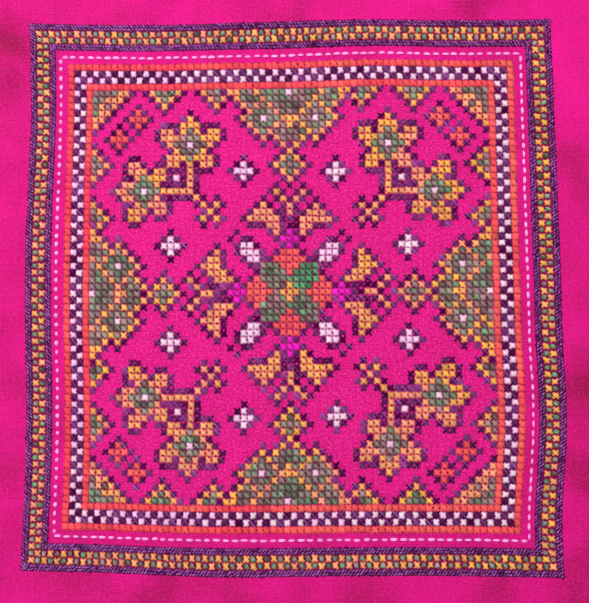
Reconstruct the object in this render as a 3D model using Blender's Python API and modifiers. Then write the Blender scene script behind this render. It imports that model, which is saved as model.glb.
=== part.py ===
"""Cross-stitch embroidery panel: one square of hand embroidery on its own cut length of plain-woven cotton.

The cloth lies face up on a level surface. It is a single sheet with a narrow turned hem. Its stitched square
lies flat, a little out of true where the stitches pull, and the bare margin round it stands in soft ripples.
Lengths are in metres and +Z is up. The origin is under the middle of the cloth, on the surface that it lies on.
"""

import bmesh
import bpy
import numpy as np

NAME = "cross_stitch_panel"
SHEET = "panel_cloth"
MM = 0.001

# The embroidered square, counted in crosses
CROSSES = 81
CROSS_WIDE = 2.00 * MM
CROSS_TALL = 2.08 * MM
BORDER_CROSSES = 4
BARE_STRIP_CROSSES = 2

# The cloth round it
MARGIN = 25.0 * MM
HEM_WIDE = 6.0 * MM

# Thickness, from the surface below to the top of the cloth, of the threads or of the hem's folded layers
CLOTH_THICK = 1.0 * MM
STITCHED_THICK = 1.5 * MM

# How closely the sheet is divided
EDGE_SLOPE = 0.6 * MM
MARGIN_CELLS = 5
BORDER_CELLS = 2
FIELD_CELLS_WIDE = 20
FIELD_CELLS_TALL = 21

HALF_WIDE = CROSSES * CROSS_WIDE / 2
HALF_TALL = CROSSES * CROSS_TALL / 2

# How many crosses inside the square each border begins
OUTER_BORDER_AT = 0
INNER_BORDER_AT = BORDER_CROSSES + BARE_STRIP_CROSSES

# Where stitches pull the square's sides out of true.
# side, place along that side in mm, how far the side moves outwards in mm, half-width of the bow in mm
BOWS = (
    ("top", -43, -1.15, 22),
    ("top", 24, 0.40, 20),
    ("top", 45, -0.40, 10),
    ("bottom", -20, 1.30, 20),
    ("bottom", 60, -0.55, 26),
    ("left", 54, -1.70, 22),
    ("left", -44, -1.70, 28),
    ("right", 14, 1.30, 26),
    ("right", -36, 1.40, 13),
    ("right", -72, -0.80, 10),
)

# The weave leans: how far a point moves to the left for each unit that it lies above the middle
LEAN = 0.015

# How much of the bows the cloth's own edge still shows
BOW_AT_EDGE = 0.6

# Ripples of the bare margin. Each is a ridge that runs outwards from the stitching.
# side, place along that side in mm, height at the cloth's edge in mm, half-width in mm, drift along the side
# in mm for each mm outwards
RIPPLES = (
    ("top", -76, 1.5, 7, -0.2),
    ("top", -45, 3.0, 7, 0.1),
    ("top", -16, 2.6, 6, 0.0),
    ("top", 4, 1.8, 5, 0.2),
    ("top", 26, 1.2, 8, 0.0),
    ("top", 52, 2.6, 7, 0.3),
    ("top", 78, 1.6, 6, 0.2),
    ("bottom", -70, 1.4, 6, 0.1),
    ("bottom", -46, 2.4, 6, -0.1),
    ("bottom", -15, 3.2, 9, 0.1),
    ("bottom", 24, 1.8, 8, 0.2),
    ("bottom", 58, 2.4, 9, 0.3),
    ("bottom", 84, 1.6, 6, 0.3),
    ("left", 88, 2.2, 4, 0.2),
    ("left", 69, 2.8, 5, 0.1),
    ("left", 42, 1.6, 6, 0.0),
    ("left", 16, 1.2, 6, 0.0),
    ("left", -12, 1.5, 7, 0.1),
    ("left", -40, 1.3, 6, 0.0),
    ("left", -70, 2.0, 7, -0.2),
    ("right", 66, 3.2, 8, -0.9),
    ("right", 34, 2.0, 6, -0.8),
    ("right", 6, 1.6, 7, -0.3),
    ("right", -18, 2.4, 7, -0.2),
    ("right", -44, 2.8, 8, -0.2),
    ("right", -74, 2.2, 7, 0.1),
)

# A ripple starts this far inside the stitching and is full this far outside it
RIPPLE_START = -7.0 * MM
RIPPLE_FULL = 15.0 * MM

# Colours of the cotton and, seen from a step away, of each stitched border
CLOTH_COLOUR = (0.79, 0.013, 0.24, 1.0)
OUTER_BORDER_COLOUR = (0.24, 0.20, 0.13, 1.0)
INNER_BORDER_COLOUR = (0.55, 0.10, 0.17, 1.0)
COTTON_ROUGHNESS = 0.9


def clear_scene():
    for old in list(bpy.data.objects):
        bpy.data.objects.remove(old)


def bump(distance, half_width):
    """A smooth hump: one at its middle, falling as a Gaussian curve of that half-width."""
    return np.exp(-0.5 * (distance / half_width) ** 2)


def ease(value):
    """Zero below zero, one above one, and an even S-curve between them."""
    t = np.clip(value, 0.0, 1.0)
    return t * t * (3.0 - 2.0 * t)


def bow_of(side, along):
    """How far a side of the square is moved outwards at a place along it: the sum of that side's bows."""
    moved = np.zeros_like(along)
    for name, place, outwards, half_width in BOWS:
        if name == side:
            moved += outwards * MM * bump(along - place * MM, half_width * MM)
    return moved


def edge_share(beyond):
    """One on the square's own side, falling to BOW_AT_EDGE at the cloth's edge."""
    return 1.0 - (1.0 - BOW_AT_EDGE) * np.clip(beyond / MARGIN, 0.0, 1.0)


def pulled(x, y):
    """The true place of a point of the flat cloth: the weave's lean, and each side's bow, blended in a straight
    line across to the opposite side, with less of it out in the margin."""
    across = np.clip(x / HALF_WIDE, -1.0, 1.0)
    up = np.clip(y / HALF_TALL, -1.0, 1.0)
    share_x = edge_share(np.abs(x) - HALF_WIDE)
    share_y = edge_share(np.abs(y) - HALF_TALL)
    move_x = bow_of("right", y) * (1 + across) / 2 - bow_of("left", y) * (1 - across) / 2
    move_y = bow_of("top", x) * (1 + up) / 2 - bow_of("bottom", x) * (1 - up) / 2
    return x - LEAN * y + share_x * move_x, y + share_y * move_y


def ripple_height(x, y):
    """How far the cloth's underside stands off the surface: the sum of the ridges of the four margins. A ridge
    rises outwards along an S-curve, and its crest drifts along its side."""
    sides = {
        "top": (y - HALF_TALL, x),
        "bottom": (-y - HALF_TALL, x),
        "left": (-x - HALF_WIDE, y),
        "right": (x - HALF_WIDE, y),
    }
    height = np.zeros_like(x)
    for side, place, crest, half_width, drift in RIPPLES:
        beyond, along = sides[side]
        rise = ease((beyond - RIPPLE_START) / (RIPPLE_FULL - RIPPLE_START))
        off_crest = along - place * MM - drift * beyond
        height += crest * MM * rise * bump(off_crest, half_width * MM)
    return height


def lines_across(half, cross, field_cells):
    """The sheet's lines along one axis. They are a short step apart at a border's edge and at the hem's, so that
    the change in thickness is crisp, and evenly spaced elsewhere."""
    cloth_edge = half + MARGIN
    hem_in = cloth_edge - HEM_WIDE
    outer_in = half - BORDER_CROSSES * cross
    inner_out = half - INNER_BORDER_AT * cross
    inner_in = inner_out - BORDER_CROSSES * cross
    side = np.concatenate(
        [
            [cloth_edge, hem_in],
            np.linspace(hem_in - EDGE_SLOPE, half, MARGIN_CELLS + 1),
            np.linspace(half - EDGE_SLOPE, outer_in + EDGE_SLOPE, BORDER_CELLS + 1),
            [outer_in, inner_out],
            np.linspace(inner_out - EDGE_SLOPE, inner_in + EDGE_SLOPE, BORDER_CELLS + 1),
        ]
    )
    field = np.linspace(-inner_in, inner_in, field_cells + 1)
    return np.sort(np.concatenate([-side, field, side]))


def depth_from(x, y, half_wide, half_tall):
    """How far a point lies inside a rectangle about the middle, measured to its nearest side."""
    return np.minimum(half_wide - np.abs(x), half_tall - np.abs(y))


def border_share(x, y, begins):
    """One on the border that begins that many crosses inside the square, and zero off it, with a step EDGE_SLOPE
    wide along each of its edges."""
    ends = begins + BORDER_CROSSES
    outer = depth_from(x, y, HALF_WIDE - begins * CROSS_WIDE, HALF_TALL - begins * CROSS_TALL)
    inner = depth_from(x, y, HALF_WIDE - ends * CROSS_WIDE, HALF_TALL - ends * CROSS_TALL)
    return np.minimum(np.clip(outer / EDGE_SLOPE, 0, 1), np.clip(-inner / EDGE_SLOPE, 0, 1))


def hem_share(x, y):
    """One on the hem's folded layers and zero inside them, with a step EDGE_SLOPE wide."""
    inside = depth_from(x, y, HALF_WIDE + MARGIN - HEM_WIDE, HALF_TALL + MARGIN - HEM_WIDE)
    return np.clip(1 - inside / EDGE_SLOPE, 0, 1)


def cotton(name, colour):
    material = bpy.data.materials.new(name)
    material.use_nodes = True
    shader = material.node_tree.nodes["Principled BSDF"]
    shader.inputs["Base Color"].default_value = colour
    shader.inputs["Roughness"].default_value = COTTON_ROUGHNESS
    material.diffuse_color = colour
    return material


def flat_grid(lines_x, lines_y):
    """A flat grid with its points on those lines, as a mesh and the place of each point along both axes."""
    grid = bmesh.new()
    bmesh.ops.create_grid(grid, x_segments=len(lines_x) - 1, y_segments=len(lines_y) - 1, size=1)
    mesh = bpy.data.meshes.new(SHEET)
    grid.to_mesh(mesh)
    grid.free()
    points = np.empty(len(mesh.vertices) * 3)
    mesh.vertices.foreach_get("co", points)
    share = (points.reshape(-1, 3) + 1) / 2
    column = np.rint(share[:, 0] * (len(lines_x) - 1)).astype(int)
    row = np.rint(share[:, 1] * (len(lines_y) - 1)).astype(int)
    return mesh, lines_x[column], lines_y[row]


def colour_borders(mesh, x, y, materials):
    """Gives each face of a stitched border that border's material, and every other face the cotton's."""
    for material in materials:
        mesh.materials.append(material)
    for face in mesh.polygons:
        corners = list(face.vertices)
        middle_x, middle_y = x[corners].mean(), y[corners].mean()
        if border_share(middle_x, middle_y, OUTER_BORDER_AT) > 0:
            face.material_index = 1
        elif border_share(middle_x, middle_y, INNER_BORDER_AT) > 0:
            face.material_index = 2


def panel_cloth(collection):
    """The sheet: a flat grid whose points are moved by the bows and the ripples. It is given its thickness
    upwards, so that its underside keeps to the surface below wherever no ripple lifts it."""
    lines_x = lines_across(HALF_WIDE, CROSS_WIDE, FIELD_CELLS_WIDE)
    lines_y = lines_across(HALF_TALL, CROSS_TALL, FIELD_CELLS_TALL)
    mesh, x, y = flat_grid(lines_x, lines_y)
    place_x, place_y = pulled(x, y)
    place_x -= (place_x.min() + place_x.max()) / 2
    place_y -= (place_y.min() + place_y.max()) / 2
    points = np.stack([place_x, place_y, ripple_height(x, y)], axis=1)
    mesh.vertices.foreach_set("co", points.ravel())
    mesh.shade_smooth()
    colour_borders(
        mesh,
        x,
        y,
        (
            cotton("magenta_cotton", CLOTH_COLOUR),
            cotton("outer_border_stitches", OUTER_BORDER_COLOUR),
            cotton("inner_border_stitches", INNER_BORDER_COLOUR),
        ),
    )

    sheet = bpy.data.objects.new(SHEET, mesh)
    collection.objects.link(sheet)
    shares = np.maximum(
        hem_share(x, y),
        np.maximum(border_share(x, y, OUTER_BORDER_AT), border_share(x, y, INNER_BORDER_AT)),
    )
    thicker = sheet.vertex_groups.new(name="stitched_or_hemmed")
    for index, share in enumerate(shares):
        thicker.add([index], share, "REPLACE")
    solid = sheet.modifiers.new("thickness", "SOLIDIFY")
    solid.thickness = STITCHED_THICK
    solid.offset = 1.0
    solid.vertex_group = thicker.name
    solid.thickness_vertex_group = CLOTH_THICK / STITCHED_THICK
    return sheet


def main():
    clear_scene()
    collection = bpy.data.collections.new(NAME)
    bpy.context.scene.collection.children.link(collection)
    panel_cloth(collection)


main()
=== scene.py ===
"""Looks of the cross-stitch panel: woven cotton, counted crosses, plaited bands, running stitch and hem.

Lengths are in metres: +Z up, +Y towards the panel's top edge, origin under its middle. The cloth's shape is
worked out from the same named bows, lean and ripples as the solid.
"""

from typing import NamedTuple

import bpy
import numpy as np
from bpy.props import FloatProperty, FloatVectorProperty, PointerProperty
from mathutils import Euler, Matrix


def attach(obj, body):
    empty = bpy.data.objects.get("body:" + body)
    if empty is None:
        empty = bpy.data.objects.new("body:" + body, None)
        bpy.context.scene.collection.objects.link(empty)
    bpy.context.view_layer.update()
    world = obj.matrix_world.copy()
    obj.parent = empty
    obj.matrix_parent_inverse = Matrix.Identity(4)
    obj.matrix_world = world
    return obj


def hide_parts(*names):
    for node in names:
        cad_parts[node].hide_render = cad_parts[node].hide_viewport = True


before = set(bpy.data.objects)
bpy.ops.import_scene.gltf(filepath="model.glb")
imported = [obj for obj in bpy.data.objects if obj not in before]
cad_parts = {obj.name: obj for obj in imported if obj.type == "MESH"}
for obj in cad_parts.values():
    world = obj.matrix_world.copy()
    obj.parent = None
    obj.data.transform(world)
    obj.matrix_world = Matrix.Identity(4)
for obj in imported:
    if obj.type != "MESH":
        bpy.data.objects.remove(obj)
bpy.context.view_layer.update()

bl_info = {
    "name": "Cross-stitch panel",
    "version": (1, 0, 0),
    "blender": (4, 5, 0),
    "location": "View3D > Sidebar > Embroidery",
    "description": "Builds a cotton cloth with a counted cross-stitch square, stitch by stitch",
    "category": "Add Mesh",
}

MM = 0.001
SHEET_NODE = "panel_cloth"

# The counted square
CROSSES = 81
CROSS_WIDE = 2.00 * MM
CROSS_TALL = 2.08 * MM
BORDER_CROSSES = 4
BARE_STRIP_CROSSES = 2
FIELD_START = 2 * BORDER_CROSSES + BARE_STRIP_CROSSES
FIELD_CROSSES = CROSSES - 2 * FIELD_START
FIELD_MIDDLE = FIELD_CROSSES // 2
THREADS_PER_CROSS = 4
HALF_WIDE = CROSSES * CROSS_WIDE / 2
HALF_TALL = CROSSES * CROSS_TALL / 2

# The cloth round it
MARGIN = 25.0 * MM
HEM_WIDE = 6.0 * MM
HEM_STITCH_FROM_EDGE = 5.3 * MM

# Heights from the surface below
REVERSE_THREADS = 0.30 * MM
CLOTH_THICK = 0.42 * MM
HEM_THICK = 1.20 * MM
HEM_STEP = 0.7 * MM
# The share of the hem's thickness that is left at its fold
FOLD_THICK = 0.45

# The cloth's lines: mm in from the edge at the fold, where the hem's own lines start, the gap beside its
# step, and the distance between all others
FOLD_LINES = (0.0, 0.08, 0.25, 0.6)
HEM_LINES_FROM = 1.6 * MM
STEP_GAP = 1.0 * MM
CLOTH_LINE_PITCH = 1.4 * MM

# Where stitches pull the square's sides out of true, as in the solid.
# For each side: place along it, how far it moves outwards and half-width of the bow, all in mm
BOWS = {
    "top": ((-43, -1.15, 22), (24, 0.4, 20), (45, -0.4, 10)),
    "bottom": ((-20, 1.3, 20), (60, -0.55, 26)),
    "left": ((54, -1.7, 22), (-44, -1.7, 28)),
    "right": ((14, 1.3, 26), (-36, 1.4, 13), (-72, -0.8, 10)),
}
LEAN = 0.015
BOW_AT_EDGE = 0.6

# Where stitches draw the weave aside within the square, which only the visible cloth and stitches have.
# Place across and up, move across and up, half-width, all in mm
PULLS = (
    (-25, -56, -1.3, 0, 22), (-43, 45, -1.3, 0, 18), (29, 0, -0.7, 0, 14), (48, 75, 0.6, 0, 20),
    (16, -40, -0.6, 0, 16), (-49, -10, -0.6, 0, 14), (34, -48, -0.5, 0, 14), (-27, -80, -0.5, 0, 12),
    (70, 21, -0.4, 0, 13), (-52, -40, -0.35, 0, 12), (-72, -31, 0, -1.1, 20), (-78, 8, 0, -0.45, 12),
    (16, 28, 0, -1, 14), (3, 68, 0, -0.6, 14), (70, 68, 0, -0.5, 18), (-31, 36, 0, 0.65, 16),
    (-11, -10, 0, 0.7, 12), (64, -7, 0, 0.4, 16), (-19, -68, 0, 0.5, 16), (-70, 51, 0, -0.35, 15),
)

# Ripples of the bare margin, as in the solid. For each side: place along it, height at the cloth's edge and
# half-width in mm, and drift along the side in mm for each mm outwards
RIPPLES = {
    "top": (
        (-76, 1.5, 7, -0.2), (-45, 3, 7, 0.1), (-16, 2.6, 6, 0), (4, 1.8, 5, 0.2), (26, 1.2, 8, 0),
        (52, 2.6, 7, 0.3), (78, 1.6, 6, 0.2),
    ),
    "bottom": (
        (-70, 1.4, 6, 0.1), (-46, 2.4, 6, -0.1), (-15, 3.2, 9, 0.1), (24, 1.8, 8, 0.2), (58, 2.4, 9, 0.3),
        (84, 1.6, 6, 0.3),
    ),
    "left": (
        (88, 2.2, 4, 0.2), (69, 2.8, 5, 0.1), (42, 1.6, 6, 0), (16, 1.2, 6, 0), (-12, 1.5, 7, 0.1),
        (-40, 1.3, 6, 0), (-70, 2, 7, -0.2),
    ),
    "right": (
        (66, 3.2, 8, -0.9), (34, 2, 6, -0.8), (6, 1.6, 7, -0.3), (-18, 2.4, 7, -0.2), (-44, 2.8, 8, -0.2),
        (-74, 2.2, 7, 0.1),
    ),
}
RIPPLE_START = -7.0 * MM
RIPPLE_FULL = 15.0 * MM

# Slow waves, which only the visible cloth has.
# Length in mm, direction in degrees, height in mm, start in turns
WAVES = (
    (31, 20, 0.1, 0.1), (23, 75, 0.09, 0.55), (17, 130, 0.06, 0.3), (13, 160, 0.05, 0.8),
    (9, 100, 0.03, 0.2),
)

# Creases of the margin: soft troughs whose shade is painted into the cloth's colour. A depth below zero is a
# low ridge with painted light.
# Place across and up in mm, direction in degrees, half-length, half-width and depth in mm
CREASES = (
    (-88, 78, -27, 9, 2.7, 0.5), (-88, 68, -30, 8, 4, 0.16), (-88, 62, 60, 5, 3, 0.28),
    (-88, 7, 0, 6, 3, 0.12), (-88, -31, 10, 6, 3, 0.14), (-88, -59, -10, 6, 3, 0.15),
    (-64, -91, 90, 8, 10, 0.15), (-38, -91, 80, 10, 7, 0.25), (-13, -91, 85, 8, 5, 0.24),
    (24, -91, 80, 8, 8, 0.18), (38, -91, 75, 8, 5, -0.12), (59, -91, 75, 8, 5, 0.26),
    (68, -91, 70, 8, 4, -0.12), (88, -91, 60, 12, 6, 0.22), (87, 86, 90, 14, 9, -0.28),
    (87, 55, 20, 8, 5, -0.25), (87, 34, -70, 9, 4, 0.32), (88, 25, -60, 8, 4, -0.12),
    (87, -28, 15, 10, 4.5, 0.5), (87, -53, -10, 10, 4.5, 0.38), (87, -83, 0, 8, 4.5, 0.12),
    (95, -50, 90, 40, 12, 0.04), (-80, 88, 100, 8, 6, 0.12), (-33, 90, 90, 8, 12, -0.08),
    (5, 88, 95, 7, 2.5, 0.16), (29, 90, 85, 9, 9, -0.22), (57, 88, 100, 7, 2.6, 0.28),
)
# How much of a crease shows in the relief, and how much painted shade it lays in the cloth's colour, per mm of
# depth
CREASE_RELIEF = 0.45
CREASE_SHADE = 1.2
LOWEST_UNDERSIDE = 0.03 * MM

# Thread codes of the chart
BARE, NAVY, YELLOW, GREEN, LEAF_GREEN, ORANGE, WHITE, PINK, PALE_PINK, HEM_THREAD = range(10)

# How deep the painted shade is on the cloth under the crosses of each code, from bare cloth to pale pink
SHADE_UNDER = (0.0, 0.15, 0.55, 0.85, 0.85, 0.50, 0.65, 0.50, 0.50)
# The painted shade under the borders' crosses, and how far the deepest painted shade darkens the cloth
SHADE_UNDER_BORDERS = 0.74
DEEPEST_SHADE = 0.92

# Threads: setting of the colour, of the second colour, how far stitches differ and how dark their sides are
# painted, what their ends keep of each colour in their painted shade, gloss, colour of the gloss
THREADS = {
    NAVY: ("navy", "violet", (0.40, 0.45), (0.9, 0.9, 1.0), 0.08, (0.7, 0.15, 0.8)),
    YELLOW: ("yellow", "peach", (0.18, 0.4), (0.90, 0.26, 0.34), 0.25, (1.0, 0.85, 0.6)),
    GREEN: ("grey_green", "mint", (0.40, 0.4), (0.2, 0.12, 0.16), 0.2, (0.7, 1.0, 0.8)),
    LEAF_GREEN: ("leaf_green", "mint", (0.3, 0.4), (0.4, 0.25, 0.3), 0.2, (0.6, 1.0, 0.8)),
    ORANGE: ("orange_red", "coral", (0.16, 0.22), (0.75, 0.35, 0.85), 0.2, (1.0, 0.6, 0.5)),
    WHITE: ("white", "pale_pink", (0.08, 0.12), (0.62, 0.28, 0.62), 0.25, (1.0, 0.9, 1.0)),
    PINK: ("pink", "pink", (0.2, 0.3), (0.6, 0.4, 0.5), 0.25, (1.0, 0.5, 1.0)),
    PALE_PINK: ("pale_pink", "rose", (0.10, 0.15), (0.9, 0.35, 0.7), 0.25, (1.0, 0.7, 1.0)),
    HEM_THREAD: ("hem", "deep_hem", (0.15, 0.4), (0.6, 0.4, 0.4), 0.3, (1.0, 0.5, 0.8)),
}

# How strongly the weave's tone shows in the margin, how much more so in the field, and how much deeper that is
MARGIN_CONTRAST = 0.45
FIELD_CONTRAST = 1.3
FIELD_DEEPER = 0.15

# A leg of a stitch: strands side by side, each a tube of few sides
LEG_RINGS = np.array([0.0, 0.2, 0.5, 0.8, 1.0])
STRAND_SIDES = 5
QUAD_CORNERS = ((0, 0), (1, 0), (1, 1), (0, 1))
HOLE_DEPTH = 0.14 * MM
# How steeply a leg dives into its holes, and the half-width, in lengths of a leg, of its rise over another
DIVE_POWER = 0.45
CROSSING_WIDE = 0.16
# The upper leg of a cross: how high it lies, in strands
OVER_LIFT = 0.65
# Turns of the strand's grooves in each mm, how deep they look, the painted shade in them, and how deep the
# weave looks
TWIST = 1.6
GROOVE_DEPTH = 0.04 * MM
GROOVE_SHADE = 0.10
WEAVE_DEPTH = 0.12 * MM
# The weave, in threads: how far threads wander and rise over others, and how much slubs are drawn out
WANDER = 1.6
THREAD_RISE = 0.55
SLUB_STRETCH = 0.03
# The noise above which a stray fibre shows, and how steeply a stitch's ends take on their painted shade
FIBRE_FROM = 0.48
SINK_POWER = 2.2

# How legs differ: the range of their widths and lifts, and how far a strand strays sideways and upwards
LEG_WIDTHS = (0.82, 1.16)
LEG_LIFTS = (0.85, 1.15)
STRAND_SWAY = 0.04 * MM
STRAND_TILT = 0.035 * MM
HAND_ERROR = 0.11 * MM
LEG_SEED = 11

# Shades: how wide a patch of dye is, how much deeper lower legs are painted, as shade from the legs over them,
# how far strands differ, and the limits
DYE_PATCH = 11 * MM
UNDER_LEG_PAINTED_SHADE = 0.9
STRAND_SHADE = 0.55
SHADE_LIMITS = (-1.8, 1.6)

# The plaited bands: how far short of a band's sides its back and upper legs stop, in crosses, and how many
# times as wide as an upper leg a back leg is
BACK_SHORT = 0.08
OVER_SHORT = 0.11
BACK_WIDTH = 2.8

# The running stitch: how far across the bare strip it lies, how much lower at the top and bottom in
# crosses, and how far dashes stray in length, in steps, along their line and off it
RUNNING_ACROSS = 0.42
RUNNING_LOWER = 0.2
DASH_UNEVEN = 0.11
DASH_ALONG = 0.12 * MM
DASH_OFF = 0.06 * MM
# The share of a step that a dash takes up and how much wider it is, at the top, right, bottom and left
DASHES = ((0.80, 1.0), (0.74, 1.0), (0.80, 1.0), (0.55, 1.3))

# The hem's slip stitches: length, slant along the hem, unevenness, width, and thickness in strands
SLIP_LONG = 1.2 * MM
SLIP_SLANT = 0.5 * MM
SLIP_ERROR = 0.15 * MM
SLIP_WIDE = 0.35 * MM
SLIP_THICK = 0.6

# Stage: half the floor's side, the main light's place and sides, the camera's sensor in mm, and the focal
# length and height of the picture in its pixels
FLOOR_REACH = 1.2
KEY_PLACE = (-0.28, 0.34, 0.62)
KEY_SIDES = (0.45, 0.35)
SENSOR_WIDE = 36.0
FOCAL_PIXELS = 986.8
PICTURE_TALL = 603


def bump(distance, half_width):
    """A smooth hump: one at its middle, falling as a Gaussian curve of that half-width."""
    return np.exp(-0.5 * (distance / half_width) ** 2)


def ease(value):
    """Zero below zero, one above one, and an even S-curve between them."""
    t = np.clip(value, 0.0, 1.0)
    return t * t * (3.0 - 2.0 * t)


def bow_of(side, along):
    """How far a side of the square is moved outwards at a place along it: the sum of that side's bows."""
    bows = np.array(BOWS[side]) * MM
    return sum(outwards * bump(along - place, half_width) for place, outwards, half_width in bows)


def edge_share(beyond):
    """One on the square's own side, falling to BOW_AT_EDGE at the cloth's edge."""
    return 1.0 - (1.0 - BOW_AT_EDGE) * np.clip(beyond / MARGIN, 0.0, 1.0)


def drawn_aside(x, y):
    """The sum of the pulls: each moves the weave about its place one way, less and less further out."""
    moved_x, moved_y = np.zeros_like(x), np.zeros_like(x)
    for place_x, place_y, move_x, move_y, half_width in np.array(PULLS) * MM:
        share = bump(np.hypot(x - place_x, y - place_y), half_width)
        moved_x += move_x * share
        moved_y += move_y * share
    return moved_x, moved_y


def bowed(x, y):
    """A point of the flat cloth after the weave's lean and each side's bow, which is blended in a straight
    line across to the opposite side and is weaker out in the margin."""
    across = np.clip(x / HALF_WIDE, -1.0, 1.0)
    up = np.clip(y / HALF_TALL, -1.0, 1.0)
    move_x = bow_of("right", y) * (1 + across) / 2 - bow_of("left", y) * (1 - across) / 2
    move_y = bow_of("top", x) * (1 + up) / 2 - bow_of("bottom", x) * (1 - up) / 2
    share_x, share_y = edge_share(np.abs(x) - HALF_WIDE), edge_share(np.abs(y) - HALF_TALL)
    return x - LEAN * y + share_x * move_x, y + share_y * move_y


def pulled(x, y):
    """A point of the flat cloth in its true place: bowed as the solid is, then drawn aside."""
    bowed_x, bowed_y = bowed(x, y)
    drawn_x, drawn_y = drawn_aside(x, y)
    return bowed_x + drawn_x, bowed_y + drawn_y


def cloth_middle():
    """Half-way between the extremes of the cloth's four edges, which is where the solid's origin lies."""
    wide, tall = HALF_WIDE + MARGIN, HALF_TALL + MARGIN
    along = np.linspace(-1, 1, 400)
    full = np.ones_like(along)
    x = np.concatenate([along * wide, along * wide, full * wide, -full * wide])
    y = np.concatenate([full * tall, -full * tall, along * tall, along * tall])
    x, y = bowed(x, y)
    return (x.min() + x.max()) / 2, (y.min() + y.max()) / 2


MIDDLE_X, MIDDLE_Y = cloth_middle()


def ripple_height(x, y):
    """How far the cloth's underside stands off the surface: the sum of the margins' ridges, each of which
    rises outwards along an S-curve while its crest drifts along its side."""
    sides = {"top": (y - HALF_TALL, x), "bottom": (-y - HALF_TALL, x)}
    sides |= {"left": (-x - HALF_WIDE, y), "right": (x - HALF_WIDE, y)}
    height = np.zeros_like(x)
    for side, (beyond, along) in sides.items():
        rise = ease((beyond - RIPPLE_START) / (RIPPLE_FULL - RIPPLE_START))
        for place, crest, half_width, drift in RIPPLES[side]:
            height += crest * MM * rise * bump(along - place * MM - drift * beyond, half_width * MM)
    return height


def wave_height(x, y):
    """The sum of the slow waves: each a sine along its own direction."""
    height = np.zeros_like(x)
    for length, turned, crest, start in WAVES:
        angle = np.radians(turned)
        along = (x * np.cos(angle) + y * np.sin(angle)) / (length * MM)
        height += crest * MM * (1 + np.sin(2 * np.pi * (along + start))) / 2
    return height


def crease_depth(x, y):
    """The sum of the creases: each a Gaussian hump across its own direction, and a longer one along it."""
    depth = np.zeros_like(x)
    for place_x, place_y, turned, half_length, half_width, deep in CREASES:
        angle = np.radians(turned)
        off_x, off_y = x - place_x * MM, y - place_y * MM
        along = off_x * np.cos(angle) + off_y * np.sin(angle)
        across = off_y * np.cos(angle) - off_x * np.sin(angle)
        depth += deep * MM * bump(along, half_length * MM) * bump(across, half_width * MM)
    return depth


def from_edge(x, y):
    """How far a point of the flat cloth is from the nearest edge of the cloth."""
    return np.minimum(HALF_WIDE + MARGIN - np.abs(x), HALF_TALL + MARGIN - np.abs(y))


def hem_share(x, y):
    """One over the turned hem and zero inside it, with a narrow S-curve between."""
    return 1 - ease((from_edge(x, y) - HEM_WIDE + HEM_STEP) / HEM_STEP)


def layer_thickness(x, y):
    """The cloth's own thickness, rising to the hem's folded layers and rounded off at the fold."""
    thick = CLOTH_THICK + (HEM_THICK - CLOTH_THICK) * hem_share(x, y)
    fold = np.clip(from_edge(x, y) / (HEM_THICK / 2), 0, 1)
    return thick * (FOLD_THICK + (1 - FOLD_THICK) * np.sqrt(1 - (1 - fold) ** 2))


def cloth_top(x, y):
    """The height of the cloth's face: ripples, waves and creases, on the threads of its reverse, plus its
    thickness. Over the hem the folded layers take the place of the reverse threads."""
    inside = 1 - hem_share(x, y)
    underside = ripple_height(x, y) + wave_height(x, y) * inside + REVERSE_THREADS * inside
    underside -= CREASE_RELIEF * crease_depth(x, y)
    return np.maximum(underside, LOWEST_UNDERSIDE) + layer_thickness(x, y)


def laid(x, y, above=0.0):
    """The place of a point of the flat cloth, that far above its face, as rows of x, y and z."""
    place_x, place_y = pulled(x, y)
    return np.stack([place_x - MIDDLE_X, place_y - MIDDLE_Y, cloth_top(x, y) + above], axis=-1)


def spread_noise(x, y, length, seed):
    """A smooth random value from -1 to 1 over the cloth: a coarse grid of random numbers, blended between
    them."""
    rng = np.random.default_rng(seed)
    cells = int(np.ceil(2.2 * (HALF_TALL + MARGIN) / length)) + 2
    grid = rng.uniform(-1, 1, (cells, cells))
    u = (x + HALF_WIDE + MARGIN) / length
    v = (y + HALF_TALL + MARGIN) / length
    column, row = (np.clip(place.astype(int), 0, cells - 2) for place in (u, v))
    a, b = ease(u - column), ease(v - row)
    low, high = (grid[line, column] * (1 - a) + grid[line, column + 1] * a for line in (row, row + 1))
    return low * (1 - b) + high * b


def mesh_piece(name, points, quads, material, uv, values):
    """A mesh object from arrays of points and quads, with UVs for the quads' corners and named values for the
    points. It rides on the one body and holds the given material."""
    mesh = bpy.data.meshes.new(name)
    mesh.from_pydata(points, [], quads)
    layer = mesh.uv_layers.new(name="thread_uv")
    layer.data.foreach_set("uv", np.ascontiguousarray(uv, np.float32).ravel())
    for label, value in values.items():
        attribute = mesh.attributes.new(label, "FLOAT", "POINT")
        attribute.data.foreach_set("value", np.ascontiguousarray(value, np.float32).ravel())
    mesh.materials.append(material)
    mesh.shade_smooth()
    mesh.update()
    piece = bpy.data.objects.new(name, mesh)
    bpy.context.scene.collection.objects.link(piece)
    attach(piece, "root")
    return piece


# Shader helpers


class Signal:
    """An output whose value varies over a surface. Reckoning with it adds Math nodes to its tree."""

    def __init__(self, socket):
        self.socket = socket

    def __add__(self, other):
        return reckon("ADD", self, other)

    def __sub__(self, other):
        return reckon("SUBTRACT", self, other)

    def __rsub__(self, other):
        return reckon("SUBTRACT", other, self)

    def __mul__(self, other):
        return reckon("MULTIPLY", self, other)


def feed(socket, value):
    """Links a signal to a socket, or sets the socket to a plain value."""
    if isinstance(value, Signal):
        socket.id_data.links.new(value.socket, socket)
    else:
        socket.default_value = value


def add_node(tree, kind, inputs, output=0, **settings):
    """The signal of a new node, with its settings made and its inputs fed by name or number."""
    node = tree.nodes.new(kind)
    for name, value in settings.items():
        setattr(node, name, value)
    for key, value in inputs.items():
        feed(node.inputs[key], value)
    return Signal(node.outputs[output])


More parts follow.
